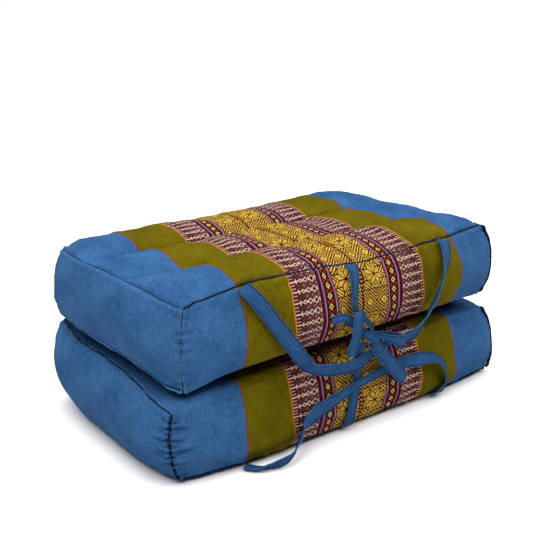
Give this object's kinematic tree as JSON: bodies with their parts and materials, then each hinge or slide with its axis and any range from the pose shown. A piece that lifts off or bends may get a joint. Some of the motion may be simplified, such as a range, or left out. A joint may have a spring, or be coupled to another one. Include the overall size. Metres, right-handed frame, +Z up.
{
  "type": "folding block cushion with ties",
  "caption": "Folding block cushion: two stuffed leaves with sewn channels lie on each other, hinged by cloth at the back, with carry straps and ties bowed in front.",
  "frame": {"origin": "on the floor under the middle of the lower leaf's flat underside", "axes": "+X along the length of the channels, to the right as seen from the tied front; -Y is the open front with the bow and +Y the fold; +Z up, with the floor at z = 0"},
  "size_m": [0.4462, 0.3027, 0.1861],
  "materials": {
    "cloth": "matt woven cotton: mid-blue ends, moss-green bands and a maroon brocade band with gold stars",
    "tape": "matt woven cotton tape in the same blue, folded and stitched along both edges"
  },
  "bodies": {
    "root": {"leaf_upper": "cloth", "leaf_lower": "cloth", "fold_band": "cloth", "carry_strap_upper": "tape", "carry_strap_lower": "tape", "tie_upper": "tape", "tie_lower": "tape", "bow_knot": "tape", "bow_loop_long": "tape", "bow_loop_short": "tape", "bow_end_folded": "tape", "bow_end_left": "tape"}
  },
  "joints": []
}
